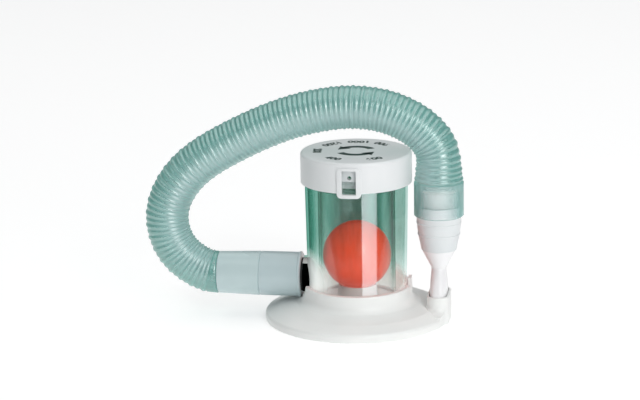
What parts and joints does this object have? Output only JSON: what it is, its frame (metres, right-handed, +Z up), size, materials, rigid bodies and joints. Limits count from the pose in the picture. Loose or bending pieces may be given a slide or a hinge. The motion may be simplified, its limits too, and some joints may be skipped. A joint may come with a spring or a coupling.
{
  "type": "incentive spirometer",
  "caption": "Flow-type incentive spirometer: clear chamber with a rising ball, turning flow dial, ribbed hose and a mouthpiece standing in the base.",
  "frame": {"origin": "centre of the base's underside, on the chamber's axis, on the surface that the object stands on", "axes": "+Z up along the chamber's axis; -Y through the dial's window at the rest setting; +X towards the mouthpiece, so the hose port points along -X"},
  "size_m": [0.1876, 0.108, 0.1385],
  "materials": {
    "white_plastic": "satin",
    "cap_plastic": "satin",
    "clear_plastic": "gloss",
    "clear_guide": "gloss",
    "ball_plastic": "gloss",
    "black_rubber": "matte",
    "frosted_plastic": "satin",
    "hose_plastic": "gloss",
    "mouth_plastic": "satin"
  },
  "bodies": {
    "root": {"base": "white_plastic", "chamber": "clear_plastic", "port_bush": "black_rubber", "guide_tube": "clear_guide", "ball_stop": "clear_guide", "metering_ring": "white_plastic", "port_adapter": "frosted_plastic", "hose_cuff": "frosted_plastic", "hose": "hose_plastic"},
    "ball": {"ball_lower_half": "ball_plastic", "ball_upper_half": "ball_plastic"},
    "dial": {"dial_cap": "cap_plastic"},
    "mouth": {"mouthpiece": "mouth_plastic", "mouth_adapter": "mouth_plastic", "mouth_cuff": "hose_plastic"}
  },
  "joints": [
    {"name": "ball_rise", "type": "slide", "parent": "root", "child": "ball", "axis": [0, 0, 1], "range_m": [0, 0.0238]},
    {"name": "dial_turn", "type": "hinge", "parent": "root", "child": "dial", "pos_m": [0, 0, 0.0965], "axis": [0, 0, 1], "range_deg": [-90, 60]},
    {"name": "mouthpiece_lift", "type": "slide", "parent": "root", "child": "mouth", "axis": [0, 0, 1], "range_m": [0, 0.02], "deforming": ["hose"]}
  ]
}
